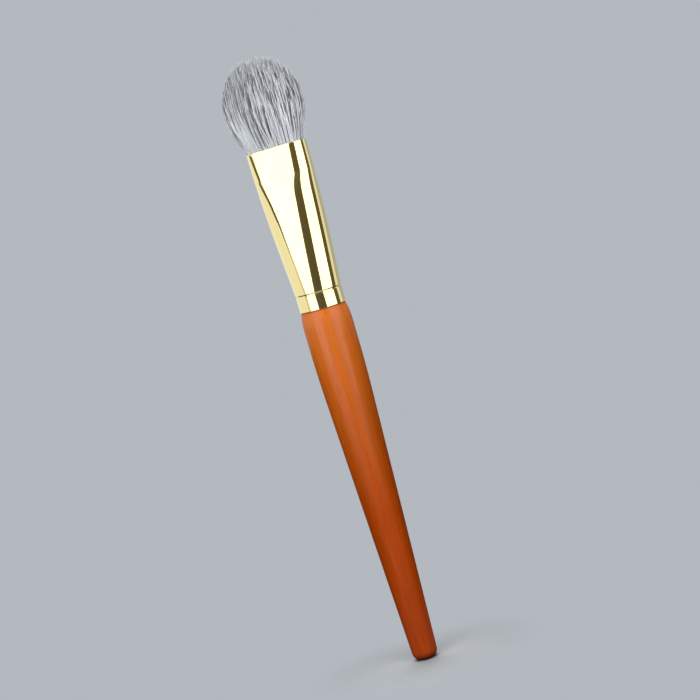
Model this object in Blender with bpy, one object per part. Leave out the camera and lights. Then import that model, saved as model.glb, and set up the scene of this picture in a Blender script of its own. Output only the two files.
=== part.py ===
"""A blush brush: turned wooden handle, gold-plated ferrule pressed from round to oval, domed tuft of hair.

The brush stands on its tail. The origin is the centre of the handle's flat end, +Z runs up the axis to the
hair, and X is the wide way of the pressed ferrule and of the tuft. Every length is in metres.
"""

import math
import random

import bmesh
import bpy
from mathutils import Vector

# Handle, measured up from its flat end
HANDLE_LENGTH = 0.1048
TAIL_FACE_RADIUS = 0.0019
TAIL_RADIUS = 0.0037
TAIL_ROUND_HEIGHT = 0.0026
HIP_RADIUS = 0.0071
HIP_BLEND_LENGTH = 0.008

# Handle, measured down from its shoulder
HIP_DROP = 0.018
NECK_LENGTH = 0.005
NECK_RADIUS = 0.0065

# Ferrule, measured up from its lower edge
FERRULE_LENGTH = 0.0467
FERRULE_WALL = 0.0004
BASE_RADIUS = 0.00675
MOUTH_HALF_WIDTH = 0.0088
MOUTH_HALF_THICKNESS = 0.0043
CRIMP_HEIGHT = 0.0046
CRIMP_DEPTH = 0.0002
CRIMP_SLOPE = 0.0003
CRIMP_FLOOR = 0.0002
JAW_LENGTH = 0.0083
JAW_SHOULDER = 0.006
EDGE_ROUND = 0.00012

# Joint between handle and ferrule
FIT_GAP = 0.0003
GLUE_WAIST = 0.0005
GLUE_LENGTH = 0.007
GLUE_LAND = 0.0012
TENON_CHAMFER = 0.0006

# Hair root inside the mouth, measured down from the ferrule's upper edge
ROOT_DEPTH = 0.0003
BINDING_DIAMETER = 0.0005
BINDING_GAP = 0.0005
BINDING_TURNS = 3
BINDING_LAND = 0.0009
RESIN_LENGTH = 0.009
MENISCUS_DEPTH = 0.0009

# Tuft, measured up from the ferrule's upper edge
HAIR_LENGTH = 0.0265
BELLY_HEIGHT = 0.0125
BELLY_HALF_WIDTH = 0.0116
BELLY_HALF_THICKNESS = 0.0075
STRAND_COUNT = 370
TIP_WANDER = 0.0002

# Shares of the sizes above
PRESS_EASE_SHARE = 0.75
SHOULDER_PRESS_SHARE = 0.2
TIP_DRAW_SHARE = 0.16
SHORT_HAIR_SHARE = 0.06
DARK_HAIR_SHARE = 0.4
STATION_SHARES = (0.0, 0.3, 0.68, 1.0)
FULLNESS_SHARES = (0.62, 0.68, 0.54, 0.0)

# Facets
ROUND_SEGMENTS = 48
ROUND_STEPS = 4
BLEND_STEPS = 6
PRESS_STEPS = 6
SHOULDER_STEPS = 3
STRAND_SIDES = 3
BINDING_POINTS_PER_TURN = 24
SHARP_ANGLE = math.radians(32)
GOLDEN_ANGLE = math.pi * (3 - math.sqrt(5))
SEAM_TOLERANCE = 0.000001

# The ferrule's two edges, measured up from the handle's flat end
FERRULE_BASE = HANDLE_LENGTH + FIT_GAP
MOUTH = FERRULE_BASE + FERRULE_LENGTH

# Radius of the tenon, clear of the ferrule's wall
TENON_RADIUS = BASE_RADIUS - FERRULE_WALL - FIT_GAP

# Heights above the ferrule's lower edge
CRIMP_TOP = CRIMP_HEIGHT + CRIMP_FLOOR / 2 + CRIMP_SLOPE
JAW_EDGE = FERRULE_LENGTH - JAW_LENGTH
GLUE_BOTTOM = CRIMP_TOP + GLUE_LAND
GLUE_TOP = GLUE_BOTTOM + GLUE_LENGTH
TENON_TOP = GLUE_TOP + FIT_GAP + GLUE_LAND + TENON_CHAMFER
ROOT_TOP = FERRULE_LENGTH - ROOT_DEPTH
BINDING_PITCH = BINDING_DIAMETER + BINDING_GAP
WAIST_TOP = ROOT_TOP - BINDING_LAND
WAIST_BOTTOM = WAIST_TOP - BINDING_PITCH * BINDING_TURNS - BINDING_DIAMETER - 2 * FIT_GAP
ROOT_BOTTOM = WAIST_BOTTOM - BINDING_LAND


def clear_scene():
    for item in list(bpy.data.objects):
        bpy.data.objects.remove(item, do_unlink=True)


def finish(name, rgb, roughness, metallic=0.0):
    """A plain material in linear colour."""
    material = bpy.data.materials.new(name)
    material.use_nodes = True
    shader = material.node_tree.nodes["Principled BSDF"]
    shader.inputs["Base Color"].default_value = (*rgb, 1.0)
    shader.inputs["Roughness"].default_value = roughness
    shader.inputs["Metallic"].default_value = metallic
    return material


def add_piece(name, bm, *materials):
    """Turns a bmesh into a named object, shaded smooth with its real edges kept sharp."""
    bmesh.ops.recalc_face_normals(bm, faces=bm.faces[:])
    mesh = bpy.data.meshes.new(name)
    bm.to_mesh(mesh)
    bm.free()
    mesh.shade_smooth()
    mesh.set_sharp_from_angle(angle=SHARP_ANGLE)
    for material in materials:
        mesh.materials.append(material)
    piece = bpy.data.objects.new(name, mesh)
    bpy.context.scene.collection.objects.link(piece)
    return piece


# Turned pieces, spun from an outline of (radius, height) points


def quarter_round(start, end, steps):
    """Points of a quarter ellipse that leaves start along the radius and reaches end along the axis."""
    points = []
    for step in range(steps + 1):
        angle = math.pi / 2 * step / steps
        radius = start[0] + (end[0] - start[0]) * math.sin(angle)
        height = start[1] + (end[1] - start[1]) * (1 - math.cos(angle))
        points.append((radius, height))
    return points


def soft_corner(before, corner, after, steps):
    """Points of the curve that leaves before towards corner and arrives at after from it."""
    points = []
    for step in range(steps + 1):
        share = step / steps
        weights = ((1 - share) ** 2, 2 * share * (1 - share), share**2)
        radius = sum(weight * point[0] for weight, point in zip(weights, (before, corner, after)))
        height = sum(weight * point[1] for weight, point in zip(weights, (before, corner, after)))
        points.append((radius, height))
    return points


def turned(name, outline, material):
    """Spins an outline, which runs from the axis to the axis, round Z."""
    bm = bmesh.new()
    verts = [bm.verts.new((radius, 0.0, height)) for radius, height in outline]
    edges = [bm.edges.new(pair) for pair in zip(verts, verts[1:])]
    bmesh.ops.spin(
        bm,
        geom=verts + edges,
        cent=(0.0, 0.0, 0.0),
        axis=(0.0, 0.0, 1.0),
        angle=2 * math.pi,
        steps=ROUND_SEGMENTS,
        use_merge=True,
    )
    bmesh.ops.remove_doubles(bm, verts=bm.verts[:], dist=SEAM_TOLERANCE)
    return add_piece(name, bm, material)


# Section of the ferrule, which every piece inside it follows


def pressed_share(height):
    """How flat the tube is pressed at a height above its lower edge: 0 where round, 1 at its mouth.

    It is pressed evenly from the crimp up, and more along the shoulder below the jaws, which ends in a bend.
    """
    climb = max(height - CRIMP_TOP, 0.0) / (FERRULE_LENGTH - CRIMP_TOP)
    shoulder = min(max(height - JAW_EDGE + JAW_SHOULDER, 0.0) / JAW_SHOULDER, 1.0)
    return (1 - SHOULDER_PRESS_SHARE) * climb**PRESS_EASE_SHARE + SHOULDER_PRESS_SHARE * shoulder**2


def half_width(height):
    """The tube flares above its crimp, quickly at first."""
    climb = max(height - CRIMP_TOP, 0.0) / (FERRULE_LENGTH - CRIMP_TOP)
    return BASE_RADIUS + (MOUTH_HALF_WIDTH - BASE_RADIUS) * math.sin(math.pi / 2 * climb)


def half_thickness(height):
    width = half_width(height)
    return width + (MOUTH_HALF_THICKNESS - width) * pressed_share(height)


def flat_oval(width, thickness, height):
    """A ring of points, evenly spaced round an oval with two flat sides and two round ends."""
    flat = width - thickness
    arc = math.pi / 2 * thickness
    ring = []
    for index in range(ROUND_SEGMENTS):
        around = 2 * math.pi * index / ROUND_SEGMENTS
        walked = (1 - abs(2 * around / math.pi % 2 - 1)) * (flat + arc)
        angle = min(walked, arc) / thickness
        across = flat + thickness * math.cos(angle) - max(walked - arc, 0.0)
        deep = thickness * math.sin(angle)
        place = (math.copysign(across, math.cos(around)), math.copysign(deep, math.sin(around)), height)
        ring.append(Vector(place))
    return ring


def ferrule_section(height, inset):
    """The ferrule's outside at a height above its lower edge, drawn in by inset."""
    return flat_oval(half_width(height) - inset, half_thickness(height) - inset, FERRULE_BASE + height)


def press_stations():
    """Heights above the ferrule's lower edge at which its wall bends, up to the edge of the jaws."""
    shoulder = JAW_EDGE - JAW_SHOULDER
    climb = [CRIMP_TOP + (shoulder - CRIMP_TOP) * step / PRESS_STEPS for step in range(1, PRESS_STEPS)]
    return climb + [shoulder + JAW_SHOULDER * step / SHOULDER_STEPS for step in range(SHOULDER_STEPS + 1)]


def stations_between(bottom, top):
    """The heights at which a piece that fills the ferrule from bottom to top follows its wall."""
    return [bottom, *(height for height in press_stations() if bottom < height < top), top]


def lofted(rings, closed=False):
    """A bmesh skinned from ring to ring. It is capped at both ends, or joined end to end if closed."""
    bm = bmesh.new()
    loops = [[bm.verts.new(point) for point in ring] for ring in rings]
    pairs = list(zip(loops, loops[1:]))
    if closed:
        pairs.append((loops[-1], loops[0]))
    for lower, upper in pairs:
        for index in range(len(lower)):
            bm.faces.new((lower[index - 1], lower[index], upper[index], upper[index - 1]))
    if not closed:
        bm.faces.new(loops[0])
        bm.faces.new(loops[-1])
    return bm


# Handle


def build_handle(wood):
    """Handle: one turned stick with a rounded tail, a straight taper, a soft hip, a neck and a tenon."""
    tail = quarter_round((TAIL_FACE_RADIUS, 0.0), (TAIL_RADIUS, TAIL_ROUND_HEIGHT), ROUND_STEPS)

    hip_height = HANDLE_LENGTH - HIP_DROP
    blend = min(HIP_BLEND_LENGTH, HIP_DROP - NECK_LENGTH)
    taper = (HIP_RADIUS - TAIL_RADIUS) / (hip_height - TAIL_ROUND_HEIGHT)
    before_hip = (HIP_RADIUS - taper * blend, hip_height - blend)
    hip = soft_corner(before_hip, (HIP_RADIUS, hip_height), (HIP_RADIUS, hip_height + blend), BLEND_STEPS)

    before_neck = (HIP_RADIUS, HANDLE_LENGTH - NECK_LENGTH)
    neck_corner = (HIP_RADIUS, HANDLE_LENGTH - NECK_LENGTH / 2)
    neck = soft_corner(before_neck, neck_corner, (NECK_RADIUS, HANDLE_LENGTH), ROUND_STEPS)

    turned("handle", [(0.0, 0.0), *tail, *hip, *neck, *tenon_outline()], wood)


def tenon_outline():
    """The tenon from the shoulder up: a groove under the ferrule's crimp, a waist for glue, a chamfer."""
    waist_radius = TENON_RADIUS - GLUE_WAIST
    waist_bottom = FERRULE_BASE + GLUE_BOTTOM - FIT_GAP
    waist_top = FERRULE_BASE + GLUE_TOP + FIT_GAP
    end = FERRULE_BASE + TENON_TOP
    return [
        (TENON_RADIUS, HANDLE_LENGTH),
        *((TENON_RADIUS - depth, FERRULE_BASE + height) for height, depth in crimp_profile()),
        (TENON_RADIUS, waist_bottom),
        (waist_radius, waist_bottom),
        (waist_radius, waist_top),
        (TENON_RADIUS, waist_top),
        (TENON_RADIUS, end - TENON_CHAMFER),
        (TENON_RADIUS - TENON_CHAMFER, end),
        (0.0, end),
    ]


def build_tenon_glue(glue):
    """Tenon glue: the sleeve of cured glue between the tenon's waist and the wall of the ferrule."""
    heights = stations_between(GLUE_BOTTOM, GLUE_TOP)
    inner = TENON_RADIUS - GLUE_WAIST + FIT_GAP
    outside = [ferrule_section(height, FERRULE_WALL + FIT_GAP) for height in heights]
    inside = [flat_oval(inner, inner, FERRULE_BASE + height) for height in reversed(heights)]
    add_piece("tenon_glue", lofted(outside + inside, closed=True), glue)


# Ferrule


def crimp_profile():
    """(height, depth) points up through the crimp ring that is rolled into ferrule and tenon together."""
    return [
        (CRIMP_TOP - 2 * CRIMP_SLOPE - CRIMP_FLOOR, 0.0),
        (CRIMP_TOP - CRIMP_SLOPE - CRIMP_FLOOR, CRIMP_DEPTH),
        (CRIMP_TOP - CRIMP_SLOPE, CRIMP_DEPTH),
        (CRIMP_TOP, 0.0),
    ]


def build_ferrule(plated_brass):
    """Ferrule: a drawn tube, crimped on the tenon and pressed to an oval at its mouth, open at both ends."""
    edge = min(EDGE_ROUND, FERRULE_WALL / 3)
    lip = FERRULE_LENGTH - edge
    outside = [(0.0, edge), (edge, 0.0)]
    outside += crimp_profile()
    outside += [(height, 0.0) for height in press_stations()]
    outside += [(lip, 0.0), (FERRULE_LENGTH, edge)]
    inside = [(FERRULE_LENGTH, FERRULE_WALL - edge), (lip, FERRULE_WALL)]
    inside += [(height, FERRULE_WALL) for height in reversed(press_stations())]
    inside += [(height, FERRULE_WALL + depth) for height, depth in reversed(crimp_profile())]
    inside += [(0.0, FERRULE_WALL)]
    rings = [ferrule_section(height, inset) for height, inset in outside + inside]
    add_piece("ferrule", lofted(rings, closed=True), plated_brass)


# Hair root, its binding and its resin


def root_section(height, drawn_in=0.0):
    """The hair root's outside at a height above the ferrule's lower edge, clear of the ferrule's wall."""
    return ferrule_section(height, FERRULE_WALL + FIT_GAP + drawn_in)


def build_root_resin(resin):
    """Root resin: poured in behind the hair root, and dished where it wetted the ferrule's wall."""
    top = ROOT_BOTTOM - FIT_GAP
    bottom = top - RESIN_LENGTH
    rings = [root_section(height) for height in stations_between(bottom, top)]
    dish = root_section(bottom, half_thickness(bottom) / 2)
    for point in dish:
        point.z += MENISCUS_DEPTH
    add_piece("root_resin", lofted([dish, *rings]), resin)


def binding_path():
    """Points down the middle of the binding thread: an even helix that lies in the root's waist."""
    start = WAIST_BOTTOM + FIT_GAP + BINDING_DIAMETER / 2
    points = []
    for step in range(BINDING_TURNS * BINDING_POINTS_PER_TURN + 1):
        height = start + BINDING_PITCH * step / BINDING_POINTS_PER_TURN
        ring = root_section(height, BINDING_DIAMETER / 2)
        points.append(ring[step * ROUND_SEGMENTS // BINDING_POINTS_PER_TURN % ROUND_SEGMENTS])
    return points


def build_binding_thread(cotton):
    """Binding thread: waxed cotton wound round the hair root before the root goes into the ferrule."""
    path = binding_path()
    curve = bpy.data.curves.new("binding_thread", "CURVE")
    curve.dimensions = "3D"
    curve.bevel_depth = BINDING_DIAMETER / 2
    curve.bevel_resolution = 1
    curve.use_fill_caps = True
    spline = curve.splines.new("POLY")
    spline.points.add(len(path) - 1)
    for point, place in zip(spline.points, path):
        point.co = (*place, 1.0)
    curve.materials.append(cotton)
    thread = bpy.data.objects.new("binding_thread", curve)
    bpy.context.scene.collection.objects.link(thread)

    apart = []
    for index, place in enumerate(path):
        apart += [(place - other).length for other in path[index + BINDING_POINTS_PER_TURN // 2 :]]
    print(f"binding thread: least gap between turns {min(apart) - BINDING_DIAMETER:.5f} m")


# Tuft


def root_half_axes():
    """Half axes of the hair root's top face."""
    inset = FERRULE_WALL + FIT_GAP
    return half_width(ROOT_TOP) - inset, half_thickness(ROOT_TOP) - inset


def bundle_half_axes(height):
    """Half axes of the hair at a height above the mouth: it opens up to the belly, then draws in."""
    opened = math.sin(math.pi / 2 * min(max(height / BELLY_HEIGHT, 0.0), 1.0))
    risen = max(height - BELLY_HEIGHT, 0.0) / (HAIR_LENGTH - BELLY_HEIGHT)
    drawn_in = 1 - TIP_DRAW_SHARE * risen**2
    belly = (BELLY_HALF_WIDTH, BELLY_HALF_THICKNESS)
    return [(root + (full - root) * opened) * drawn_in for root, full in zip(root_half_axes(), belly)]


def crown_height(radius_share):
    """The height at which a strand at this share of the bundle's radius reaches the tuft's round crown.

    Solves (radius_share * (1 - TIP_DRAW_SHARE * risen**2))**2 + risen**2 = 1 for risen, the share of the way
    from the belly to the top.
    """
    squared = radius_share**2
    linear = 1 - 2 * TIP_DRAW_SHARE * squared
    root = math.sqrt(linear**2 + 4 * TIP_DRAW_SHARE**2 * squared * (1 - squared))
    risen = math.sqrt(2 * (1 - squared) / (linear + root))
    return BELLY_HEIGHT + (HAIR_LENGTH - BELLY_HEIGHT) * risen


def add_strand(bm, index, chance):
    """Adds a three-sided strand that ends in a point, and returns the edges of its open foot."""
    room_share = 1 / math.sqrt(STRAND_COUNT)
    radius_share = math.sqrt((index + 1 / 2) / STRAND_COUNT) * (1 - room_share * max(FULLNESS_SHARES))
    angle = index * GOLDEN_ANGLE
    tip = crown_height(radius_share) * (1 - SHORT_HAIR_SHARE * chance.random())
    wander_angle = 2 * math.pi * chance.random()
    turn = 2 * math.pi * chance.random()
    dark = chance.random() < DARK_HAIR_SHARE

    loops = []
    for station, fullness in zip(STATION_SHARES, FULLNESS_SHARES):
        height = -ROOT_DEPTH + (tip + ROOT_DEPTH) * station
        width, thickness = bundle_half_axes(height)
        wander = TIP_WANDER * station**2
        across = width * radius_share * math.cos(angle) + wander * math.cos(wander_angle)
        deep = thickness * radius_share * math.sin(angle) + wander * math.sin(wander_angle)
        loop = []
        for side in range(STRAND_SIDES):
            facing = turn + 2 * math.pi * side / STRAND_SIDES
            reach = fullness * room_share
            place = (across + width * reach * math.cos(facing), deep + thickness * reach * math.sin(facing))
            loop.append(bm.verts.new((*place, MOUTH + height)))
        loops.append(loop)

    foot = [bm.edges.new((loops[0][side - 1], loops[0][side])) for side in range(STRAND_SIDES)]
    for lower, upper in zip(loops, loops[1:]):
        for side in range(STRAND_SIDES):
            face = bm.faces.new((lower[side - 1], lower[side], upper[side], upper[side - 1]))
            face.material_index = int(dark)
    bmesh.ops.pointmerge(bm, verts=loops[-1], merge_co=loops[-1][0].co)
    return foot


def build_hair_tuft(pale_hair, dark_hair):
    """Hair tuft: strands of pale and dark hair on a slice of their root, which is waisted by its binding."""
    recess = BINDING_DIAMETER + FIT_GAP
    below = [root_section(height) for height in stations_between(ROOT_BOTTOM, WAIST_BOTTOM)]
    waist = [root_section(height, recess) for height in stations_between(WAIST_BOTTOM, WAIST_TOP)]
    above = [root_section(height) for height in stations_between(WAIST_TOP, ROOT_TOP)]
    bm = lofted([*below, *waist, *above])
    cap = max(bm.faces, key=lambda face: face.calc_center_median().z)
    edges = list(cap.edges)
    bmesh.ops.delete(bm, geom=[cap], context="FACES_ONLY")
    chance = random.Random(STRAND_COUNT)
    for index in range(STRAND_COUNT):
        edges += add_strand(bm, index, chance)
    bmesh.ops.triangle_fill(bm, use_beauty=True, edges=edges, normal=(0.0, 0.0, 1.0))
    add_piece("hair_tuft", bm, pale_hair, dark_hair)


clear_scene()
build_handle(finish("lacquered_rosewood", (0.46, 0.10, 0.018), 0.42))
build_tenon_glue(finish("cured_glue", (0.62, 0.52, 0.33), 0.35))
build_ferrule(finish("gold_plate", (0.90, 0.72, 0.32), 0.12, metallic=1.0))
build_root_resin(finish("cast_resin", (0.30, 0.19, 0.08), 0.25))
build_binding_thread(finish("waxed_cotton", (0.72, 0.66, 0.52), 0.85))
build_hair_tuft(finish("pale_hair", (0.62, 0.64, 0.68), 0.6), finish("dark_hair", (0.08, 0.09, 0.11), 0.55))
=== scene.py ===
import math

import bmesh
import bpy
import numpy as np
from mathutils import Matrix, Vector


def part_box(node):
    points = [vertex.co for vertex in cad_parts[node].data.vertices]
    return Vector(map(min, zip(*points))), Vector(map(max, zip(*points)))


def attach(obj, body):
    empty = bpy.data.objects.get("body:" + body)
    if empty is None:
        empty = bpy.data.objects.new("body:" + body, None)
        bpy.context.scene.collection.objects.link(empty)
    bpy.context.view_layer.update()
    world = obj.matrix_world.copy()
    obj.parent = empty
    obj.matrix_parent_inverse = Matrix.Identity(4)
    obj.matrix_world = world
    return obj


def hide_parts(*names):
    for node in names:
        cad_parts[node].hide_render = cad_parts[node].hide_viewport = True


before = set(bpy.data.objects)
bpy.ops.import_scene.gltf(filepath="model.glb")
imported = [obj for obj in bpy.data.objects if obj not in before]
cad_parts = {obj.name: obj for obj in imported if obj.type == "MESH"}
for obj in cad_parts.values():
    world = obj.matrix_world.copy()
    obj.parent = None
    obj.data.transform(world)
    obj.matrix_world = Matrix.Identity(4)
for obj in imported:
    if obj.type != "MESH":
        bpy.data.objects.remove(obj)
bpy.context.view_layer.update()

# Handle: a stick of close-grained hardwood, turned on a lathe, stained orange-brown and dipped in satin
# lacquer. It is darker towards the thin tail and paler at the neck: partly a deeper stain, partly painted
# shade that deepens where less light reaches down. Its tenon goes up into the ferrule.

FIT_GAP = 0.0003
FERRULE_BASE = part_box("ferrule")[0].z
SHOULDER = FERRULE_BASE - FIT_GAP
HIP_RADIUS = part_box("handle")[1].x
TENON_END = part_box("handle")[1].z
BASE_RADIUS = 0.00675
FERRULE_WALL = 0.0004
TENON_RADIUS = BASE_RADIUS - FERRULE_WALL - FIT_GAP
TENON_CHAMFER = 0.0006
TAIL_FACE_RADIUS = 0.0019
TAIL_RADIUS = 0.0037
TAIL_ROUND_HEIGHT = 0.0026
HIP_DROP = 0.018
HIP_BLEND_LENGTH = 0.008
NECK_LENGTH = 0.005
NECK_RADIUS = 0.0065
WAIST_DEPTH = 0.0005
CURVE_STEPS = 24
TURNED_STEPS = 160
SEAM_TOLERANCE = 0.000001
SHARP_ANGLE = math.radians(32)
# Colours from tail to neck: real stain, with painted shade darkening the tail and painted light paling the
# neck.
TAIL_STAIN_AND_SHADE = "#B84407"
MIDDLE_STAIN = "#BF4A05"
NECK_STAIN_AND_LIGHT = "#D86D14"
MIDDLE_HEIGHT = SHOULDER / 2
PALER_FROM = 0.42 * SHOULDER
# Painted shade: the tail's rounded end is darkened up to this height, for the shade that falls under it.
TAIL_SHADE_HEIGHT = 0.0026
COAT_FADE_LOW = 0.045
COAT_FADE_HIGH = 0.1
FIGURE_WIDTH = 0.0028
GRAIN_WIDTH = 0.0005
GRAIN_WIDTH_TO_LENGTH = 0.03
GRAIN_DEPTH = 0.00002
PORE_WIDTH = 0.00022
PORE_WIDTH_TO_LENGTH = 0.09


def quarter_round(start, end):
    """Points of a quarter ellipse that leaves start along the radius and reaches end along the axis."""
    points = []
    for step in range(CURVE_STEPS + 1):
        angle = math.pi / 2 * step / CURVE_STEPS
        radius = start[0] + (end[0] - start[0]) * math.sin(angle)
        height = start[1] + (end[1] - start[1]) * (1 - math.cos(angle))
        points.append((radius, height))
    return points


def soft_corner(before, corner, after):
    """Points of the curve that leaves before towards corner and arrives at after from it."""
    before, corner, after = Vector(before), Vector(corner), Vector(after)
    shares = [step / CURVE_STEPS for step in range(CURVE_STEPS + 1)]
    return [before.lerp(corner, share).lerp(corner.lerp(after, share), share) for share in shares]


def linear(code):
    """An sRGB hex colour as the linear colour that a shader takes."""
    shades = [int(code[place:place + 2], 16) / 255 for place in (1, 3, 5)]
    return (*(s / 12.92 if s <= 0.04045 else ((s + 0.055) / 1.055) ** 2.4 for s in shades), 1.0)


def fill(tree, node, inputs):
    """Gives a node's inputs, by name or by number, their values, or links them to the sockets given."""
    in_use = [socket for socket in node.inputs if socket.enabled]
    for key, value in inputs.items():
        socket = in_use[key] if isinstance(key, int) else next(s for s in in_use if s.name == key)
        if isinstance(value, bpy.types.NodeSocket):
            tree.links.new(value, socket)
        else:
            socket.default_value = value


def add_node(tree, kind, inputs, output=None, **settings):
    """Adds a node with its settings and inputs, and returns the output named, or the first one in use."""
    node = tree.nodes.new(kind)
    for name, value in settings.items():
        setattr(node, name, value)
    fill(tree, node, inputs)
    return node.outputs[output] if output else next(socket for socket in node.outputs if socket.enabled)


def new_material(name):
    """A new material, its node tree and its Principled shader."""
    material = bpy.data.materials.new(name)
    material.use_nodes = True
    return material, material.node_tree, material.node_tree.nodes["Principled BSDF"]


def place_piece(name, mesh, material, slot, *nodes):
    """Shows a mesh as a piece that rides with the brush and stands for the solids named."""
    mesh.materials.append(material)
    piece = bpy.data.objects.new(name, mesh)
    bpy.context.scene.collection.objects.link(piece)
    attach(piece, "root")
    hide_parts(*nodes)


def smooth_mesh(name, bm):
    """Turns a bmesh into a mesh, shaded smooth with its real edges kept sharp."""
    bmesh.ops.remove_doubles(bm, verts=bm.verts[:], dist=SEAM_TOLERANCE)
    bmesh.ops.recalc_face_normals(bm, faces=bm.faces[:])
    mesh = bpy.data.meshes.new(name)
    bm.to_mesh(mesh)
    bm.free()
    mesh.shade_smooth()
    mesh.set_sharp_from_angle(angle=SHARP_ANGLE)
    return mesh


def stained_hardwood():
    """Satin-lacquered hardwood: lengthwise grain under the stain, and a soft gloss that follows the form.

    The stain is deep at the tail and paler up to the neck, partly a real deeper stain and partly painted
    shade where less light reaches the lower handle. The real grain and pores are too fine to show, so both
    are drawn coarser. The rounded end of the tail is darkest: painted shade for the shade under it.
    """
    material, tree, shader = new_material("stained_hardwood")
    place = add_node(tree, "ShaderNodeTexCoord", {}, "Object")
    height = add_node(tree, "ShaderNodeSeparateXYZ", {"Vector": place}, "Z")
    low = add_node(
        tree,
        "ShaderNodeMapRange",
        {"Value": height, "From Min": 0.0, "From Max": MIDDLE_HEIGHT},
        interpolation_type="SMOOTHSTEP",
    )
    tail = add_node(
        tree,
        "ShaderNodeMix",
        {"Factor": low, "A": linear(TAIL_STAIN_AND_SHADE), "B": linear(MIDDLE_STAIN)},
        data_type="RGBA",
    )
    high = add_node(
        tree, "ShaderNodeMapRange", {"Value": height, "From Min": PALER_FROM, "From Max": SHOULDER}
    )
    # The colour by height: real stain, with painted shade deeper towards the tail and painted light at the
    # neck.
    stain_and_shade = add_node(
        tree, "ShaderNodeMix", {"Factor": high, "A": tail, "B": linear(NECK_STAIN_AND_LIGHT)}, data_type="RGBA"
    )

    along = add_node(
        tree, "ShaderNodeMapping", {"Vector": place, "Scale": (1.0, 1.0, GRAIN_WIDTH_TO_LENGTH)}
    )
    figure = add_node(tree, "ShaderNodeTexNoise", {
        "Vector": along, "Scale": 1 / FIGURE_WIDTH, "Detail": 2.0, "Distortion": 0.6
    })
    figured = add_node(tree, "ShaderNodeMapRange", {
        "Value": figure, "From Min": 0.35, "From Max": 0.65, "To Min": 0.9, "To Max": 1.04
    })
    grain = add_node(tree, "ShaderNodeTexNoise", {"Vector": along, "Scale": 1 / GRAIN_WIDTH, "Detail": 3.0})
    grained = add_node(tree, "ShaderNodeMapRange", {
        "Value": grain, "From Min": 0.3, "From Max": 0.7, "To Min": 0.88, "To Max": 1.06
    })
    short = add_node(
        tree, "ShaderNodeMapping", {"Vector": place, "Scale": (1.0, 1.0, PORE_WIDTH_TO_LENGTH)}
    )
    pore = add_node(tree, "ShaderNodeTexNoise", {"Vector": short, "Scale": 1 / PORE_WIDTH, "Detail": 1.0})
    pored = add_node(tree, "ShaderNodeMapRange", {
        "Value": pore, "From Min": 0.66, "From Max": 0.72, "To Min": 1.0, "To Max": 0.78
    })
    # Painted shade: the colour darkens to 0.12 at the very end of the tail, for the shade under its rounded
    # end.
    tail_shade = add_node(
        tree,
        "ShaderNodeMapRange",
        {"Value": height, "From Min": 0.0, "From Max": TAIL_SHADE_HEIGHT, "To Min": 0.12, "To Max": 1.0},
        interpolation_type="SMOOTHSTEP",
    )
    tone = figured
    for share in (grained, pored, tail_shade):
        tone = add_node(tree, "ShaderNodeMath", {0: tone, 1: share}, operation="MULTIPLY")

    coat = add_node(tree, "ShaderNodeMapRange", {
        "Value": height,
        "From Min": COAT_FADE_LOW,
        "From Max": COAT_FADE_HIGH,
        "To Min": 0.09,
        "To Max": 0.34,
    })
    fill(tree, shader, {
        "Base Color": add_node(
            tree, "ShaderNodeVectorMath", {"Vector": stain_and_shade, "Scale": tone}, operation="SCALE"
        ),
        "Roughness": 0.6,
        "Specular IOR Level": 0.0,
        "Coat Weight": coat,
        "Coat Roughness": 0.35,
        "Coat IOR": 2.0,
        "Normal": add_node(
            tree, "ShaderNodeBump", {"Strength": 0.25, "Distance": GRAIN_DEPTH, "Height": grain}
        ),
    })
    return material


hip = SHOULDER - HIP_DROP
taper = (HIP_RADIUS - TAIL_RADIUS) / (hip - TAIL_ROUND_HEIGHT)
tenon_neck = TENON_RADIUS - WAIST_DEPTH
glue_low, glue_high = (corner.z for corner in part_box("tenon_glue"))
outline = [(0.0, 0.0)]
outline += quarter_round((TAIL_FACE_RADIUS, 0.0), (TAIL_RADIUS, TAIL_ROUND_HEIGHT))
outline += soft_corner(
    (HIP_RADIUS - taper * HIP_BLEND_LENGTH, hip - HIP_BLEND_LENGTH),
    (HIP_RADIUS, hip),
    (HIP_RADIUS, hip + HIP_BLEND_LENGTH),
)
outline += soft_corner(
    (HIP_RADIUS, SHOULDER - NECK_LENGTH),
    (HIP_RADIUS, SHOULDER - NECK_LENGTH / 2),
    (NECK_RADIUS, SHOULDER),
)
outline += [
    (TENON_RADIUS, SHOULDER),
    (TENON_RADIUS, glue_low - FIT_GAP),
    (tenon_neck, glue_low - FIT_GAP),
    (tenon_neck, glue_high + FIT_GAP),
    (TENON_RADIUS, glue_high + FIT_GAP),
    (TENON_RADIUS, TENON_END - TENON_CHAMFER),
    (TENON_RADIUS - TENON_CHAMFER, TENON_END),
    (0.0, TENON_END),
]
bm = bmesh.new()
verts = [bm.verts.new((radius, 0.0, height)) for radius, height in outline]
edges = [bm.edges.new(pair) for pair in zip(verts, verts[1:])]
bmesh.ops.spin(
    bm,
    geom=verts + edges,
    cent=(0.0, 0.0, 0.0),
    axis=(0.0, 0.0, 1.0),
    angle=2 * math.pi,
    steps=TURNED_STEPS,
    use_merge=True,
)
mesh = smooth_mesh("turned_handle", bm)
place_piece("turned_handle", mesh, stained_hardwood(), "lacquered_wood", "handle")

# Tenon glue: a sleeve of cured wood-to-metal glue that fills the tenon's waist. It sets cloudy and pale,
# with small bubbles, and can't be seen once the ferrule is on.

BUBBLE_SIZE = 0.0004
BUBBLE_DEPTH = 0.00004
CLOUD_SIZE = 0.0024


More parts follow.
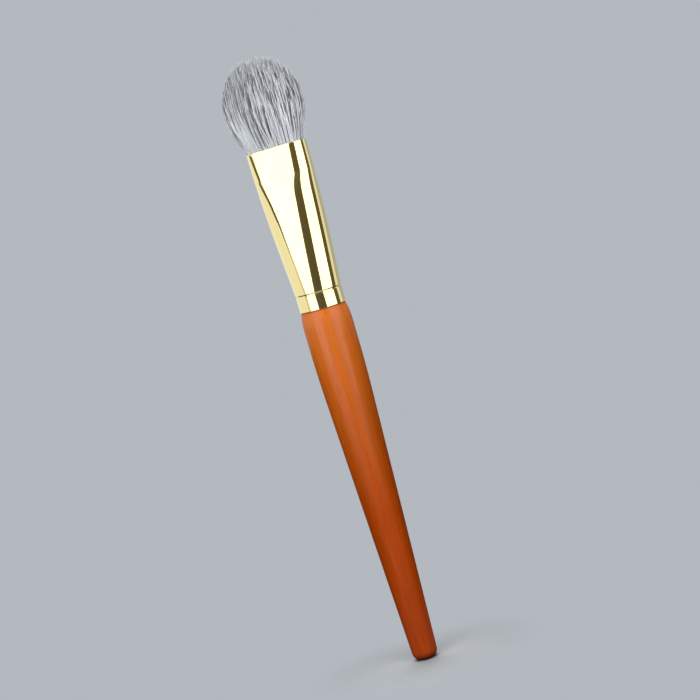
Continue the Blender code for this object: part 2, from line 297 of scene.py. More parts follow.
def cured_glue():
    """Cured glue: milky and slightly uneven, with a dull shine."""
    material, tree, shader = new_material("cured_glue")
    place = add_node(tree, "ShaderNodeTexCoord", {}, "Object")
    cloud = add_node(tree, "ShaderNodeTexNoise", {"Vector": place, "Scale": 1 / CLOUD_SIZE, "Detail": 2.0})
    bubble = add_node(tree, "ShaderNodeTexVoronoi", {"Vector": place, "Scale": 1 / BUBBLE_SIZE})
    fill(tree, shader, {
        "Base Color": add_node(
            tree,
            "ShaderNodeMix",
            {"Factor": cloud, "A": linear("#D8CCA6"), "B": linear("#C2B183")},
            data_type="RGBA",
        ),
        "Roughness": 0.42,
        "Normal": add_node(
            tree, "ShaderNodeBump", {"Strength": 0.4, "Distance": BUBBLE_DEPTH, "Height": bubble}
        ),
    })
    return material


def finish_node(name, material):
    """Gives a solid that is shown as it is its real finish."""
    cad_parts[name].data.materials.clear()
    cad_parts[name].data.materials.append(material)


finish_node("tenon_glue", cured_glue())

# Ferrule: a thin brass tube, drawn wider to its mouth, pressed to a flat oval between jaws, crimped on the
# tenon, then polished and plated pale gold. The jaws leave a bend across its flat sides near the mouth.

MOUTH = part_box("ferrule")[1].z
FERRULE_LENGTH = MOUTH - FERRULE_BASE
MOUTH_HALF_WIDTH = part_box("ferrule")[1].x
MOUTH_HALF_THICKNESS = 0.0043
CRIMP_HEIGHT = 0.0046
CRIMP_DEPTH = 0.00012
CRIMP_HALF_WIDTH = 0.0004
CRIMP_BOTTOM = CRIMP_HEIGHT - CRIMP_HALF_WIDTH
CRIMP_TOP = CRIMP_HEIGHT + CRIMP_HALF_WIDTH
JAW_LENGTH = 0.0083
JAW_EDGE = FERRULE_LENGTH - JAW_LENGTH
JAW_SHOULDER = 0.006
PRESS_EASE = 0.75
SHOULDER_PRESS = 0.2
EDGE_ROUND = 0.00006
EDGE_STEPS = 4
RING_COLUMNS = 256
OUTER_ROWS = 90
INNER_ROWS = 40
CRIMP_ROWS = 12
JAW_ROWS = 16
WAVE_WIDTH = 0.004
WAVE_WIDTH_TO_LENGTH = 0.35
WAVE_DEPTH = 0.00003
SCUFF_WIDTH = 0.0006


def climb(height):
    """Share of the way from the crimp to the mouth, at a height above the ferrule's lower edge."""
    return max(height - CRIMP_TOP, 0.0) / (FERRULE_LENGTH - CRIMP_TOP)


def pressed_share(height):
    """How flat the tube is pressed at a height above its lower edge: 0 where round, 1 at its mouth."""
    shoulder = min(max(height - JAW_EDGE + JAW_SHOULDER, 0.0) / JAW_SHOULDER, 1.0)
    return (1 - SHOULDER_PRESS) * climb(height)**PRESS_EASE + SHOULDER_PRESS * shoulder**2


def half_axes(height):
    """Half width and half thickness of the tube at a height above its lower edge."""
    width = BASE_RADIUS + (MOUTH_HALF_WIDTH - BASE_RADIUS) * math.sin(math.pi / 2 * climb(height))
    return width, width + (MOUTH_HALF_THICKNESS - width) * pressed_share(height)


def oval_point(height, inset, turn):
    """A point on the tube's section at a height above its lower edge, drawn in, at a share of the way round.

    The section is two half circles joined by flats, and the share is walked along them at an even pace.
    """
    width, thickness = (axis - inset for axis in half_axes(height))
    flat = width - thickness
    arc = math.pi / 2 * thickness
    around = 2 * math.pi * turn
    walked = (1 - abs(2 * around / math.pi % 2 - 1)) * (flat + arc)
    angle = min(walked, arc) / thickness
    across = flat + thickness * math.cos(angle) - max(walked - arc, 0.0)
    deep = thickness * math.sin(angle)
    return (
        math.copysign(across, math.cos(around)),
        math.copysign(deep, math.sin(around)),
        FERRULE_BASE + height,
    )


def wrapped_grid(profile, closed):
    """A grid bent round the tube's section: its rows follow the profile's points of height and inset."""
    bm = bmesh.new()
    rows = len(profile) - 1
    bmesh.ops.create_grid(bm, x_segments=rows, y_segments=RING_COLUMNS, size=0.5)
    for vert in bm.verts:
        height, inset = profile[round((vert.co.x + 0.5) * rows)]
        column = round((vert.co.y + 0.5) * RING_COLUMNS) % RING_COLUMNS
        vert.co = oval_point(height, inset, column / RING_COLUMNS)
    bmesh.ops.remove_doubles(bm, verts=bm.verts[:], dist=SEAM_TOLERANCE)
    if not closed:
        bmesh.ops.holes_fill(bm, edges=[edge for edge in bm.edges if edge.is_boundary])
    return bm


def crimp_depth(height):
    """Depth of the rolled crimp at a height above the ferrule's lower edge."""
    off = abs(height - CRIMP_HEIGHT) / CRIMP_HALF_WIDTH
    return CRIMP_DEPTH * (1 + math.cos(math.pi * off)) / 2 if off < 1 else 0.0


def spaced(start, end, steps):
    """Values from start to end, both counted in, a number of even steps apart."""
    return [start + (end - start) * step / steps for step in range(steps + 1)]


def gold_plate():
    """Polished gold plate: a clear pale mirror, drawn out a little by the waves that pressing leaves."""
    material, tree, shader = new_material("gold_plate")
    place = add_node(tree, "ShaderNodeTexCoord", {}, "Object")
    along = add_node(
        tree, "ShaderNodeMapping", {"Vector": place, "Scale": (1.0, 1.0, WAVE_WIDTH_TO_LENGTH)}
    )
    wave = add_node(tree, "ShaderNodeTexNoise", {"Vector": along, "Scale": 1 / WAVE_WIDTH, "Detail": 1.0})
    scuff = add_node(tree, "ShaderNodeTexNoise", {"Vector": place, "Scale": 1 / SCUFF_WIDTH, "Detail": 4.0})
    fill(tree, shader, {
        "Base Color": add_node(
            tree,
            "ShaderNodeMix",
            {"Factor": wave, "A": linear("#F8E8AA"), "B": linear("#F4DF9E")},
            data_type="RGBA",
        ),
        "Metallic": 1.0,
        "Roughness": add_node(tree, "ShaderNodeMapRange", {
            "Value": scuff, "From Min": 0.4, "From Max": 0.75, "To Min": 0.055, "To Max": 0.07
        }),
        "Normal": add_node(
            tree, "ShaderNodeBump", {"Strength": 0.3, "Distance": WAVE_DEPTH, "Height": wave}
        ),
    })
    return material


turns = spaced(0.0, math.pi / 2, EDGE_STEPS)
lip = [(EDGE_ROUND * (1 - math.cos(turn)), EDGE_ROUND * (1 - math.sin(turn))) for turn in turns]
lip_end = (2 * EDGE_ROUND, 0.0)
mouth_start = FERRULE_LENGTH - EDGE_ROUND
profile = [*lip, lip_end]
profile += [(height, crimp_depth(height)) for height in spaced(CRIMP_BOTTOM, CRIMP_TOP, CRIMP_ROWS)]
profile += [(height, 0.0) for height in spaced(CRIMP_TOP, JAW_EDGE, OUTER_ROWS)[1:]]
profile += [(height, 0.0) for height in spaced(JAW_EDGE, mouth_start, JAW_ROWS)[1:-1]]
profile += [(FERRULE_LENGTH - rise, inset) for rise, inset in [lip_end, *reversed(lip)]]
profile += [(FERRULE_LENGTH - rise, FERRULE_WALL - inset) for rise, inset in lip]
profile += [(height, FERRULE_WALL) for height in spaced(mouth_start, CRIMP_TOP, INNER_ROWS)[1:]]
profile += [
    (height, FERRULE_WALL + crimp_depth(height))
    for height in spaced(CRIMP_TOP, CRIMP_BOTTOM, CRIMP_ROWS)[1:]
]
profile += [(0.0, FERRULE_WALL), profile[0]]
mesh = smooth_mesh("polished_ferrule", wrapped_grid(profile, True))
place_piece("polished_ferrule", mesh, gold_plate(), "gold_plate", "ferrule")

# Root resin: two-part resin poured in behind the bound hair root while the ferrule stands on its mouth. It
# sets glossy amber, and dishes where it wets the wall.

STREAK_WIDTH = 0.0015


def cast_resin():
    """Cast resin: deep amber and glossy, with slow swirls where its two parts were stirred."""
    material, tree, shader = new_material("cast_resin")
    place = add_node(tree, "ShaderNodeTexCoord", {}, "Object")
    swirl = add_node(tree, "ShaderNodeTexNoise", {
        "Vector": place, "Scale": 1 / STREAK_WIDTH, "Detail": 2.0, "Distortion": 1.5
    })
    fill(tree, shader, {
        "Base Color": add_node(
            tree,
            "ShaderNodeMix",
            {"Factor": swirl, "A": linear("#8F6B36"), "B": linear("#B38A4B")},
            data_type="RGBA",
        ),
        "Roughness": 0.18,
        "Coat Weight": 0.5,
    })
    return material


finish_node("root_resin", cast_resin())

# Binding thread: waxed cotton, wound three times round the hair root and pulled tight before the root goes
# into the ferrule.

PLY_SCALE = 200.0
PLY_DEPTH = 0.00005


def waxed_cotton():
    """Waxed cotton: off-white bands of twisted ply with a faint wax shine.

    Real plies are too fine to show, so the bands are drawn coarser, every 1.6 mm.
    """
    material, tree, shader = new_material("waxed_cotton")
    place = add_node(tree, "ShaderNodeTexCoord", {}, "Object")
    ply = add_node(
        tree, "ShaderNodeTexWave", {"Vector": place, "Scale": PLY_SCALE, "Distortion": 2.0}, "Fac"
    )
    fill(tree, shader, {
        "Base Color": add_node(
            tree,
            "ShaderNodeMix",
            {"Factor": ply, "A": linear("#CFC5AC"), "B": linear("#E4DCC8")},
            data_type="RGBA",
        ),
        "Roughness": 0.6,
        "Normal": add_node(tree, "ShaderNodeBump", {"Strength": 0.5, "Distance": PLY_DEPTH, "Height": ply}),
    })
    return material


finish_node("binding_thread", waxed_cotton())

# Hair butt: the lower ends of the hair, bound to a flat oval plug and soaked with resin. It is waisted under
# its thread, and all the hair above grows out of it.

ROOT_DROP = 0.0003
ROOT_LAND = 0.0009
BINDING_DEPTH = 0.0008
ROOT_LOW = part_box("hair_tuft")[0].z - FERRULE_BASE
ROOT_HIGH = FERRULE_LENGTH - ROOT_DROP
WAIST_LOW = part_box("binding_thread")[0].z - FERRULE_BASE - FIT_GAP
WAIST_HIGH = ROOT_HIGH - ROOT_LAND
ROOT_INSET = FERRULE_WALL + FIT_GAP
WAIST_INSET = ROOT_INSET + BINDING_DEPTH
LAND_ROWS = 4
WAIST_ROWS = 8
FIBRE_WIDTH = 0.00012
FIBRE_WIDTH_TO_LENGTH = 0.05


def soaked_hair():
    """Resin-soaked hair: the cut ends show as pale fibres in amber, drawn coarser than real ones."""
    material, tree, shader = new_material("soaked_hair")
    place = add_node(tree, "ShaderNodeTexCoord", {}, "Object")
    along = add_node(
        tree, "ShaderNodeMapping", {"Vector": place, "Scale": (1.0, 1.0, FIBRE_WIDTH_TO_LENGTH)}
    )
    fibre = add_node(tree, "ShaderNodeTexNoise", {"Vector": along, "Scale": 1 / FIBRE_WIDTH, "Detail": 1.0})
    shown = add_node(tree, "ShaderNodeMapRange", {"Value": fibre, "From Min": 0.42, "From Max": 0.58})
    fill(tree, shader, {
        "Base Color": add_node(
            tree,
            "ShaderNodeMix",
            {"Factor": shown, "A": linear("#6E6354"), "B": linear("#C9C3B4")},
            data_type="RGBA",
        ),
        "Roughness": 0.5,
    })
    return material


profile = [(height, ROOT_INSET) for height in spaced(ROOT_LOW, WAIST_LOW, LAND_ROWS)]
profile += [(height, WAIST_INSET) for height in spaced(WAIST_LOW, WAIST_HIGH, WAIST_ROWS)]
profile += [(height, ROOT_INSET) for height in spaced(WAIST_HIGH, ROOT_HIGH, LAND_ROWS)]
mesh = smooth_mesh("hair_butt", wrapped_grid(profile, False))
place_piece("hair_butt", mesh, soaked_hair(), "hair", "hair_tuft")

# Hair: straight goat hair, white and grey-banded sorted together, cut at the butt only, so that the natural
# tips make the dome. It opens out to a belly and gathers in small locks towards the tips. Real hairs are
# too fine to show, so fewer are drawn, each 0.15 mm thick.

HAIR_LENGTH = 0.0262
BELLY_HEIGHT = 0.0125
BELLY_HALF_WIDTH = 0.0118
BELLY_HALF_THICKNESS = 0.0076
TIP_DRAW = 0.16
WALL_CLEARANCE = 0.0001
EDGE_POINTS = 720

# One hair: STATIONS are the shares of its length where it has a point, THICKNESS how thick it is there.
HAIR_START = -0.0008
HAIR_RADIUS = 0.000075
HAIR_SIDES = 3
HAIR_PIECES = 3
STATIONS = (0.0, 0.1, 0.25, 0.45, 0.68, 0.86, 1.0)
THICKNESS = (0.6, 0.8, 1.0, 1.0, 0.95, 0.7, 0.15)

# The locks: how they fill the bundle, how far their tips gather and drift, and how much shorter some are.
LOCK_COUNT = 3000
HAIRS_PER_LOCK = 5
GOLDEN_ANGLE = math.pi * (3 - math.sqrt(5))
CORE_THINNING = 0.4
LOCK_GATHER = 0.5
GATHER_POWER = 1.5
LOCK_DRIFT = 0.06
HAIR_DRIFT = 0.004
SHORT_LOCK = 0.1
SHORT_LOCK_POWER = 1.5
SHORT_HAIR = 0.1
SHORT_HAIR_POWER = 2

# A lock is lined (dark down to its root), dark or grey below a pale tip, or else white. Steps of KIND_STEP
# mix the kinds evenly. The darker ones are more common over the crown, and come in wisps round the tuft.
KIND_STEP = 0.7548776662
LINED_LOCKS = 0.13
DARK_LOCKS = 0.15
BANDED_LOCKS = 0.16
KIND_GREYS = (0.95, 0.98, 0.55)
PALE_GREY = 0.02
KIND_REACHES = (0.5, 0.55, 0.6)
PALE_REACH = 0.85
DARK_BAND = (0.004, 0.012)
GREY_BAND = (0.004, 0.01)
GREY_SPREAD = 0.08
BAND_SPREAD = (0.8, 1.2)
CROWN_SHARE = 0.88
CROWN_DARK = 0.1
WISPS = 5
WISP_TURN = math.radians(30)
WISP_DEPTH = 0.005
WISP_DARK = 0.045
PALE_TIP = 0.0006
BAND_FADE = 0.002


def mouth_edge(share):
    """Points on the mouth's inner edge, up to which the area swept from +X is the share given."""
    inset = FERRULE_WALL + WALL_CLEARANCE + HAIR_RADIUS
    turns = np.linspace(0.0, 1.0, EDGE_POINTS + 1)
    edge = np.array([oval_point(FERRULE_LENGTH, inset, turn % 1.0)[:2] for turn in turns])
    swept = np.cumsum(edge[:-1, 0] * edge[1:, 1] - edge[1:, 0] * edge[:-1, 1])
    swept = np.concatenate([[0.0], swept]) / swept[-1]
    return np.stack([np.interp(share, swept, edge[:, 0]), np.interp(share, swept, edge[:, 1])], axis=-1)


def crown_height(radius):
    """Height at which hair at this share of the bundle's radius reaches the round crown.

    It solves (radius * (1 - TIP_DRAW * risen**2))**2 + risen**2 = 1 for the share risen above the belly.
    """
    squared = np.minimum(radius, 1.0) ** 2
    line = 1 - 2 * TIP_DRAW * squared
    root = np.sqrt(line**2 + 4 * TIP_DRAW**2 * squared * (1 - squared))
    risen = np.sqrt(2 * (1 - squared) / (line + root))
    return BELLY_HEIGHT + (HAIR_LENGTH - BELLY_HEIGHT) * risen


def hair_places(unit, height):
    """Places of hairs in the bundle, from their places in a unit disc and their heights over the mouth."""
    radius = np.minimum(np.linalg.norm(unit, axis=-1), 1.0)
    angle = np.arctan2(unit[..., 1], unit[..., 0])
    belly = np.stack([BELLY_HALF_WIDTH * np.cos(angle), BELLY_HALF_THICKNESS * np.sin(angle)], axis=-1)
    mouth = mouth_edge(angle / (2 * math.pi) % 1.0)
    opened = np.sin(math.pi / 2 * np.clip(height / BELLY_HEIGHT, 0.0, 1.0))[..., None]
    risen = np.maximum(height - BELLY_HEIGHT, 0.0)[..., None] / (HAIR_LENGTH - BELLY_HEIGHT)
    edge = (mouth + (belly - mouth) * opened) * (1 - TIP_DRAW * risen**2)
    return np.concatenate([edge * radius[..., None], MOUTH + height[..., None]], axis=-1)


def scattered(radius, count):
    """Places scattered evenly over a disc."""
    away = radius * np.sqrt(rng.random(count))
    angle = 2 * math.pi * rng.random(count)
    return np.stack([away * np.cos(angle), away * np.sin(angle)], axis=-1)


def goat_hair():
    """Goat hair: white, or with a dark band below a pale tip, and a faint silky shine."""
    material, tree, shader = new_material("goat_hair")
    below_tip, band_end, grey = (
        add_node(tree, "ShaderNodeAttribute", {}, "Fac", attribute_name=name)
        for name in ("below_tip", "band_end", "grey")
    )
    faded = add_node(tree, "ShaderNodeMath", {0: band_end, 1: BAND_FADE}, operation="ADD")
    dark = add_node(
        tree,
        "ShaderNodeMapRange",
        {"Value": below_tip, "From Min": 0.0, "From Max": PALE_TIP, "To Min": 0.3, "To Max": 1.0},
        interpolation_type="SMOOTHSTEP",
    )
    band = add_node(
        tree,
        "ShaderNodeMapRange",
        {"Value": below_tip, "From Min": band_end, "From Max": faded, "To Min": 1.0, "To Max": 0.0},
        interpolation_type="SMOOTHSTEP",
    )
    for share in (band, grey):
        dark = add_node(tree, "ShaderNodeMath", {0: dark, 1: share}, operation="MULTIPLY")
    fill(tree, shader, {
        "Base Color": add_node(
            tree,
            "ShaderNodeMix",
            {"Factor": dark, "A": linear("#F6F9FF"), "B": linear("#0F1020")},
            data_type="RGBA",
        ),
        "Roughness": 0.3,
        "Specular IOR Level": 1.0,
        "Sheen Weight": 0.5,
        "Sheen Roughness": 0.4,
    })
    return material


rng = np.random.default_rng(11)
lock = np.arange(LOCK_COUNT)
lock_away = ((lock + 0.5) / LOCK_COUNT) ** CORE_THINNING
lock_turn = lock * GOLDEN_ANGLE
lock_centre = lock_away[:, None] * np.stack([np.cos(lock_turn), np.sin(lock_turn)], axis=-1)
lock_short = rng.random(LOCK_COUNT) ** SHORT_LOCK_POWER * SHORT_LOCK
lock_lean = rng.normal(0.0, LOCK_DRIFT, (LOCK_COUNT, 2))

lock_wisp = np.cos(WISPS * (lock_turn + WISP_TURN))
kind = lock * KIND_STEP % 1.0 - CROWN_DARK * (lock_away < CROWN_SHARE) - WISP_DARK * lock_wisp
lined = kind < LINED_LOCKS
kinds = [lined, kind < LINED_LOCKS + DARK_LOCKS, kind < LINED_LOCKS + DARK_LOCKS + BANDED_LOCKS]
lock_grey = np.select(kinds, KIND_GREYS, PALE_GREY)
lock_clear = np.select(
    kinds,
    [0.0, rng.uniform(*DARK_BAND, LOCK_COUNT), rng.uniform(*GREY_BAND, LOCK_COUNT)],
    HAIR_LENGTH,
)
lock_clear += WISP_DEPTH * lock_wisp
lock_reach = np.select(kinds, KIND_REACHES, PALE_REACH) / math.sqrt(LOCK_COUNT)

hairs = LOCK_COUNT * HAIRS_PER_LOCK
member = np.repeat(lock, HAIRS_PER_LOCK)
offset = scattered(lock_reach[member], hairs)
root_unit = lock_centre[member] + offset
tip_unit = root_unit - offset * LOCK_GATHER + lock_lean[member] + rng.normal(0.0, HAIR_DRIFT, (hairs, 2))
tip_unit /= np.maximum(np.linalg.norm(tip_unit, axis=-1), 1.0)[:, None]
tip_height = crown_height(np.linalg.norm(tip_unit, axis=-1))
tip_height *= 1 - lock_short[member] - rng.random(hairs) ** SHORT_HAIR_POWER * SHORT_HAIR
grey = np.clip(lock_grey[member] + rng.normal(0.0, GREY_SPREAD, hairs), 0.0, 1.0)
band_end = np.where(lined[member], HAIR_LENGTH, lock_clear[member] * rng.uniform(*BAND_SPREAD, hairs))

points = np.ones((hairs, len(STATIONS), 4))
for column, station in enumerate(STATIONS):
    unit = root_unit + (tip_unit - root_unit) * station**GATHER_POWER
    points[:, column, :3] = hair_places(unit, HAIR_START + (tip_height - HAIR_START) * station)
strides = np.linalg.norm(np.diff(points[:, :, :3], axis=1), axis=-1)
below_tip = np.zeros((hairs, len(STATIONS)))
below_tip[:, :-1] = np.cumsum(strides[:, ::-1], axis=1)[:, ::-1]

section = bpy.data.curves.new("hair_section", "CURVE")
section.dimensions = "2D"
section_spline = section.splines.new("POLY")
section_spline.points.add(HAIR_SIDES - 1)
for side, point in enumerate(section_spline.points):
    facing = 2 * math.pi * side / HAIR_SIDES
    point.co = (HAIR_RADIUS * math.cos(facing), HAIR_RADIUS * math.sin(facing), 0.0, 1.0)
section_spline.use_cyclic_u = True
section_object = bpy.data.objects.new("hair_section", section)
bpy.context.scene.collection.objects.link(section_object)

hair_material = goat_hair()
for group in range(HAIR_PIECES):
    chosen = np.flatnonzero(member % HAIR_PIECES == group)
    curve = bpy.data.curves.new("hair_curve", "CURVE")
    curve.dimensions = "3D"
    curve.bevel_mode = "OBJECT"
    curve.bevel_object = section_object
    for index in chosen:
        spline = curve.splines.new("POLY")
        spline.points.add(len(STATIONS) - 1)
        spline.points.foreach_set("co", points[index].ravel())
        spline.points.foreach_set("radius", THICKNESS)
    curve_object = bpy.data.objects.new("hair_curve", curve)
    bpy.context.scene.collection.objects.link(curve_object)
    bpy.context.view_layer.update()
    evaluated = curve_object.evaluated_get(bpy.context.evaluated_depsgraph_get())
    mesh = bpy.data.meshes.new_from_object(evaluated)
    mesh.name = f"hair_{group + 1}"
    mesh.shade_smooth()
    values = {
        "below_tip": np.repeat(below_tip[chosen].ravel(), HAIR_SIDES),
        "band_end": np.repeat(band_end[chosen], HAIR_SIDES * len(STATIONS)),
        "grey": np.repeat(grey[chosen], HAIR_SIDES * len(STATIONS)),
    }
    for name, value in values.items():
        mesh.attributes.new(name, "FLOAT", "POINT").data.foreach_set("value", value.astype(np.float32))
    bpy.data.objects.remove(curve_object)
    bpy.data.curves.remove(curve)
    place_piece(f"hair_{group + 1}", mesh, hair_material, "hair", "hair_tuft")
bpy.data.objects.remove(section_object)

# Floor: a round table under the tail, covered with pale matt laminate. A little way from the tail it fades
# into the backdrop's grey, so that only the tail's own shade shows on it.

FLOOR_RADIUS = 0.4
FLOOR_SIDES = 96
FADE_START = 0.006
FADE_END = 0.036
BACKDROP = linear("#B3B9BF")


def backdrop_shows(tree):
    """1 for rays from the camera and for those that mirrors and clear things send on, else 0."""
    shows = add_node(tree, "ShaderNodeLightPath", {}, "Is Camera Ray")
    for kind in ("Is Glossy Ray", "Is Transmission Ray"):
        ray = add_node(tree, "ShaderNodeLightPath", {}, kind)
        shows = add_node(tree, "ShaderNodeMath", {0: shows, 1: ray}, operation="MAXIMUM")
    return shows


def pale_table():
    """Pale matt laminate, even and without a pattern."""
    material, tree, shader = new_material("pale_table")
    place = add_node(tree, "ShaderNodeTexCoord", {}, "Object")
    away = add_node(tree, "ShaderNodeVectorMath", {"Vector": place}, operation="LENGTH")
    fade = add_node(
        tree,
        "ShaderNodeMapRange",
        {"Value": away, "From Min": FADE_START, "From Max": FADE_END},
        interpolation_type="SMOOTHSTEP",
    )
    share = add_node(tree, "ShaderNodeMath", {0: fade, 1: backdrop_shows(tree)}, operation="MULTIPLY")
    far = add_node(tree, "ShaderNodeEmission", {"Color": BACKDROP, "Strength": 1.0})
    fill(tree, shader, {"Base Color": linear("#B4B9BE"), "Roughness": 0.7, "Specular IOR Level": 0.2})
    both = add_node(tree, "ShaderNodeMixShader", {0: share, 1: shader.outputs["BSDF"], 2: far})
    fill(tree, tree.nodes["Material Output"], {"Surface": both})
    return material


bm = bmesh.new()
bmesh.ops.create_circle(bm, cap_ends=True, segments=FLOOR_SIDES, radius=FLOOR_RADIUS)
floor = bpy.data.objects.new("floor", smooth_mesh("floor", bm))
floor.data.materials.append(pale_table())
bpy.context.scene.collection.objects.link(floor)

# Light: two tall soft boxes in front, a dim card on each side and two boxes overhead. Black flags between
# them draw the dark lines in the polished ferrule, and bent black flags close by darken the handle's edges.
# One more flag, which only mirrors show, draws the ferrule's left line and fades towards its foot.

LIGHT_LOW = -0.2
LIGHT_HIGH = 0.9
BOX_DISTANCE = 0.95
FLAG_DISTANCE = 0.8
OVERHEAD_SIZE = 0.9
OVERHEAD_DISTANCE = 1.5
OVERHEAD_ELEVATION = 68
OVERHEAD_RADIANCE = 4.5
ROOM_RADIANCE = 0.2
FELT = linear("#6C6550")
FELT_ROUGHNESS = 0.9

# Each lamp or flag fills the azimuths between its first two values, in degrees, where 0 is in front and 90
# on the right. A soft box's third value is its radiance. An overhead box has one azimuth.
SOFT_BOXES = {
    "left_box": (-62, -9, 1.9),
    "right_box": (33, 87, 1.9),
    "left_card": (-150, -62, 0.5),
    "right_card": (111, 130, 0.4),
}
BLACK_FLAGS = {"front_flag": (-9, 33), "right_flag": (87, 111)}
OVERHEAD_BOXES = {"front_top_box": 12, "back_top_box": 192}

# The close flags' rows: a height, and the azimuths of the two edges there.
CLOSE_DISTANCE = 0.05
CLOSE_COLUMNS = 24
CLOSE_LOW = 0.002
CLOSE_BEND = 0.03
CLOSE_WIDE = FERRULE_BASE - 0.017
CLOSE_CUT = FERRULE_BASE - 0.0125
CLOSE_TOP = FERRULE_BASE - 0.008
CLOSE_LEFT_ROWS = [
    (CLOSE_LOW, -150, -36),
    (CLOSE_BEND, -142, -40),
    (CLOSE_WIDE, -140, -45),
    (CLOSE_CUT, -100, -46),
    (CLOSE_TOP, -100, -46),
]
CLOSE_RIGHT_ROWS = [
    (CLOSE_LOW, 52, 170),
    (CLOSE_BEND, 56, 166),
    (CLOSE_WIDE, 61, 164),
    (CLOSE_CUT, 62, 120),
    (CLOSE_TOP, 62, 120),
]

# The flag that only mirrors show is upright up to HORN_TURN and sweeps back to the left above it, like a
# horn. Its felt glows up to HORN_PALE, less and less above, and is black from HORN_BLACK up.
HORN_LOW = FERRULE_BASE - 0.006
HORN_HIGH = MOUTH + 0.002
HORN_ROWS = 40
HORN_TURN = 0.13
HORN_REACH = 0.0185
HORN_POWER = 1.2
HORN_LEFT = -57.5
HORN_LEFT_SWEEP = 29.0
HORN_RIGHT = -46.5
HORN_RIGHT_SWEEP = 19.0
HORN_PALE = 0.119
HORN_BLACK = 0.132
HORN_GLOW = 0.6


def outward(azimuth, elevation):
    """The way out from the brush at an azimuth and an elevation in degrees."""
    angle = math.radians(azimuth)
    rise = math.radians(elevation)
    return Vector((math.sin(angle) * math.cos(rise), -math.cos(angle) * math.cos(rise), math.sin(rise)))


def round_the_brush(azimuth, elevation, distance, height=0.0):
    """The place of a lamp or flag that stands round the brush and faces it."""
    back = outward(azimuth, elevation)
    place = back * distance + Vector((0.0, 0.0, height))
    return Matrix.Translation(place) @ back.to_track_quat("Z", "Y").to_matrix().to_4x4()


def upright(first, last, distance):
    """Width and place of an upright lamp or flag that fills the azimuths from first to last."""
    width = 2 * distance * math.tan(math.radians(last - first) / 2)
    return width, round_the_brush((first + last) / 2, 0, distance, (LIGHT_LOW + LIGHT_HIGH) / 2)


def add_lamp(name, width, height, radiance, place):
    """An area light of a size, as bright all over as radiance says, hidden from the camera."""
    light = bpy.data.lights.new(name, "AREA")
    light.shape = "RECTANGLE"
    light.size = width
    light.size_y = height
    light.energy = radiance * math.pi * width * height
    lamp = bpy.data.objects.new(name, light)
    lamp.matrix_world = place
    lamp.visible_camera = False
    bpy.context.scene.collection.objects.link(lamp)


def add_flag(name, bm, material, shades=True):
    """A flag hidden from the camera. One that doesn't shade the brush shows only in mirrors."""
    flag = bpy.data.objects.new(name, smooth_mesh(name, bm))
    flag.data.materials.append(material)
    flag.visible_camera = False
    flag.visible_diffuse = shades
    flag.visible_shadow = shades
    bpy.context.scene.collection.objects.link(flag)


def bent_flag(rows):
    """A flag bent close round the brush. Its rows are a height and the azimuths of its two edges there."""
    bm = bmesh.new()
    bmesh.ops.create_grid(bm, x_segments=CLOSE_COLUMNS, y_segments=len(rows) - 1, size=0.5)
    for vert in bm.verts:
        height, first, last = rows[round((vert.co.y + 0.5) * (len(rows) - 1))]
        angle = math.radians(first + (last - first) * (vert.co.x + 0.5))
        vert.co = (CLOSE_DISTANCE * math.sin(angle), -CLOSE_DISTANCE * math.cos(angle), height)
    return bm


def black_felt():
    """Matt felt that swallows most of the light and looks black in the polished metal."""
    material, tree, shader = new_material("black_felt")
    fill(tree, shader, {"Base Color": FELT, "Roughness": FELT_ROUGHNESS})
    return material


def faded_felt():
    """The same felt, lit from within towards its foot, so that the line it draws fades out there."""
    material, tree, shader = new_material("faded_felt")
    place = add_node(tree, "ShaderNodeTexCoord", {}, "Object")
    height = add_node(tree, "ShaderNodeSeparateXYZ", {"Vector": place}, "Z")
    glow = add_node(tree, "ShaderNodeMapRange", {
        "Value": height, "From Min": HORN_PALE, "From Max": HORN_BLACK, "To Min": HORN_GLOW, "To Max": 0.0
    })
    fill(tree, shader, {
        "Base Color": FELT,
        "Roughness": FELT_ROUGHNESS,
        "Emission Color": linear("#FFFFFF"),
        "Emission Strength": glow,
    })
    return material


felt = black_felt()
for name, (first, last, radiance) in SOFT_BOXES.items():
    width, place = upright(first, last, BOX_DISTANCE)
    add_lamp(name, width, LIGHT_HIGH - LIGHT_LOW, radiance, place)
for name, (first, last) in BLACK_FLAGS.items():
    width, place = upright(first, last, FLAG_DISTANCE)
    bm = bmesh.new()
    bmesh.ops.create_grid(bm, x_segments=1, y_segments=1, size=0.5)
    bmesh.ops.scale(bm, verts=bm.verts[:], vec=(width, LIGHT_HIGH - LIGHT_LOW, 1.0))
    bmesh.ops.transform(bm, verts=bm.verts[:], matrix=place)
    add_flag(name, bm, felt)
add_flag("close_left_flag", bent_flag(CLOSE_LEFT_ROWS), felt)
add_flag("close_right_flag", bent_flag(CLOSE_RIGHT_ROWS), felt)
horn = []
for height in spaced(HORN_LOW, HORN_HIGH, HORN_ROWS):
    swept = (max(height - HORN_TURN, 0.0) / HORN_REACH) ** HORN_POWER
    horn.append((height, HORN_LEFT - HORN_LEFT_SWEEP * swept, HORN_RIGHT - HORN_RIGHT_SWEEP * swept))
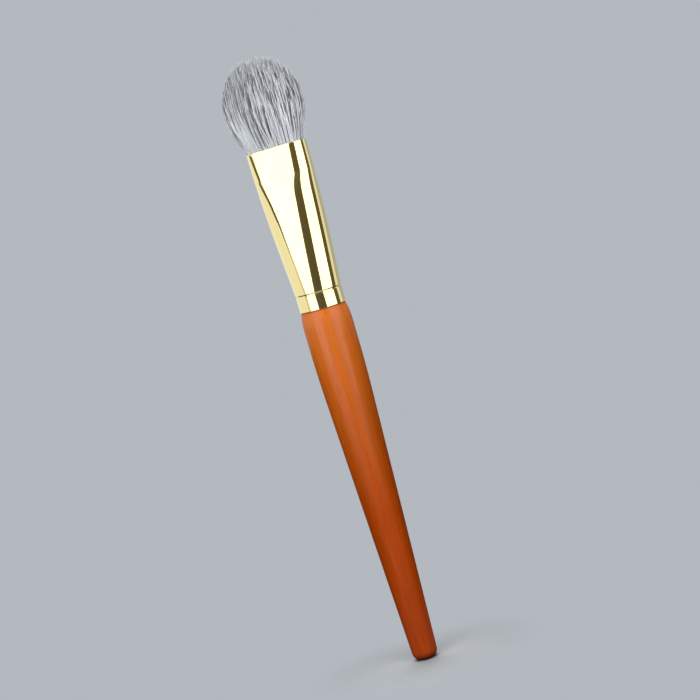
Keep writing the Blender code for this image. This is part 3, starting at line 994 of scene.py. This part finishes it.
add_flag("horn_flag", bent_flag(horn), faded_felt(), shades=False)
for name, azimuth in OVERHEAD_BOXES.items():
    place = round_the_brush(azimuth, OVERHEAD_ELEVATION, OVERHEAD_DISTANCE)
    add_lamp(name, OVERHEAD_SIZE, OVERHEAD_SIZE, OVERHEAD_RADIANCE, place)

world = bpy.data.worlds.new("studio")
bpy.context.scene.world = world
world.use_nodes = True
level = add_node(world.node_tree, "ShaderNodeMapRange", {
    "Value": backdrop_shows(world.node_tree), "To Min": ROOM_RADIANCE, "To Max": 1.0
})
fill(world.node_tree, world.node_tree.nodes["Background"], {"Color": BACKDROP, "Strength": level})

# Camera: a long lens a little above the brush's middle, turned so that the brush leans to the left in the
# picture, which is 700 pixels wide. MOUTH_PIXEL is where the brush's axis meets the ferrule's mouth in it.

PICTURE = 700
AZIMUTH = 12
ELEVATION = 5
LEAN = math.radians(16.4)
LENS = 100.0
PIXELS_PER_METRE = 3570.0
MOUTH_PIXEL = (276.0, 147.1)

back = outward(AZIMUTH, ELEVATION)
level_right = Vector((math.cos(math.radians(AZIMUTH)), math.sin(math.radians(AZIMUTH)), 0.0))
level_up = back.cross(level_right)
right = level_right * math.cos(LEAN) - level_up * math.sin(LEAN)
up = level_right * math.sin(LEAN) + level_up * math.cos(LEAN)

camera_data = bpy.data.cameras.new("camera")
camera_data.lens = LENS
distance = PICTURE * LENS / camera_data.sensor_width / PIXELS_PER_METRE
aside = (PICTURE / 2 - MOUTH_PIXEL[0]) / PIXELS_PER_METRE
above = (MOUTH_PIXEL[1] - PICTURE / 2) / PIXELS_PER_METRE
target = Vector((0.0, 0.0, MOUTH)) + right * aside + up * above
camera_data.clip_start = distance / 100
camera_data.clip_end = distance * 100
camera = bpy.data.objects.new("camera", camera_data)
axes = Matrix((right, up, back)).transposed().to_4x4()
camera.matrix_world = Matrix.Translation(target + back * distance) @ axes
bpy.context.scene.collection.objects.link(camera)
bpy.context.scene.camera = camera
bpy.context.scene.view_settings.view_transform = "Standard"
